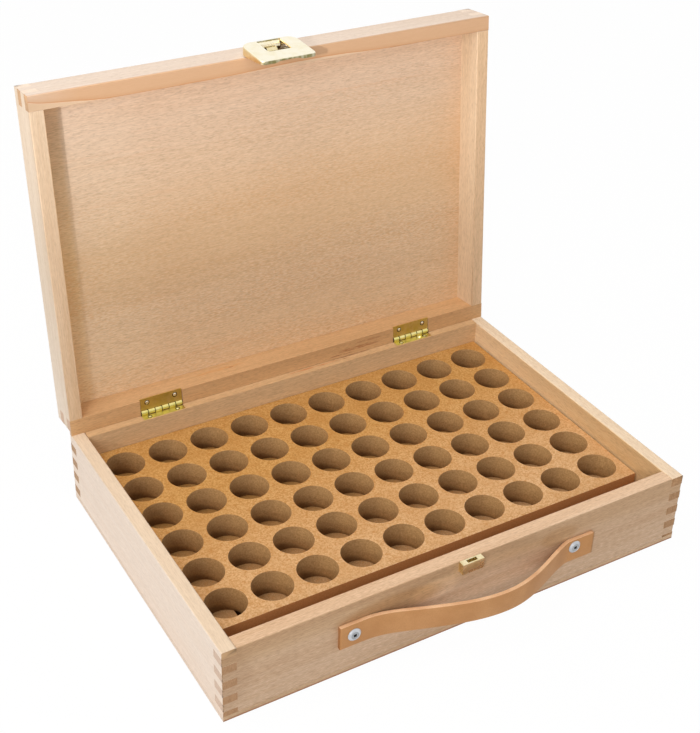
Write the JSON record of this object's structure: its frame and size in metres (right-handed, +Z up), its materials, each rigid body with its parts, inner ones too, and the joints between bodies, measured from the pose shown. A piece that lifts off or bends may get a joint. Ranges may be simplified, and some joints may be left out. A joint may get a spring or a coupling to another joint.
{
  "type": "essential oil case",
  "caption": "Shallow wooden case with a hinged lid, a drilled bottle plate, a toggle latch and a leather strap handle.",
  "frame": {"origin": "centre of the base's underside", "axes": "+X along the front, to the right as one faces it; +Y from the front to the hinges; +Z up"},
  "size_m": [0.36, 0.321, 0.3141],
  "materials": {
    "beech": "fine sanded, unvarnished",
    "beech_dark": "fine sanded, unvarnished",
    "fibreboard": "bare medium density fibreboard",
    "leather": "vegetable tanned, matt, raw cut edges",
    "brass": "polished brass plating",
    "steel": "bright nickel plating"
  },
  "bodies": {
    "case": {"base_bottom_panel": "beech_dark", "base_front_wall": "beech_dark", "base_rear_wall": "beech_dark", "base_left_wall": "beech", "base_right_wall": "beech", "bottle_plate": "fibreboard", "plate_board": "fibreboard", "front_batten": "fibreboard", "rear_batten": "fibreboard", "handle_strap": "leather", "handle_washers": "steel", "handle_screws": "steel", "catch_bracket": "brass", "catch_nails": "brass", "left_hinge_base_leaf": "brass", "right_hinge_base_leaf": "brass", "left_hinge_pin": "brass", "right_hinge_pin": "brass", "hinge_base_nails": "brass"},
    "lid": {"lid_front_rail": "beech", "lid_rear_rail": "beech_dark", "lid_left_rail": "beech", "lid_right_rail": "beech", "lid_panel": "beech", "left_hinge_lid_leaf": "brass", "right_hinge_lid_leaf": "brass", "hinge_lid_nails": "brass", "latch_back_plate": "brass", "latch_spring": "steel", "latch_pin": "brass", "latch_nails": "brass"},
    "latch": {"latch_lever": "brass"}
  },
  "joints": [
    {"name": "lid_hinge", "type": "hinge", "parent": "case", "child": "lid", "pos_m": [0, 0.1233, 0.05846], "axis": [1, 0, 0], "range_deg": [0, 95.2]},
    {"name": "latch_pivot", "type": "hinge", "parent": "lid", "child": "latch", "pos_m": [-0.0024, 0.15349, 0.31146], "axis": [1, 0, 0], "range_deg": [-60, 4.5]}
  ]
}
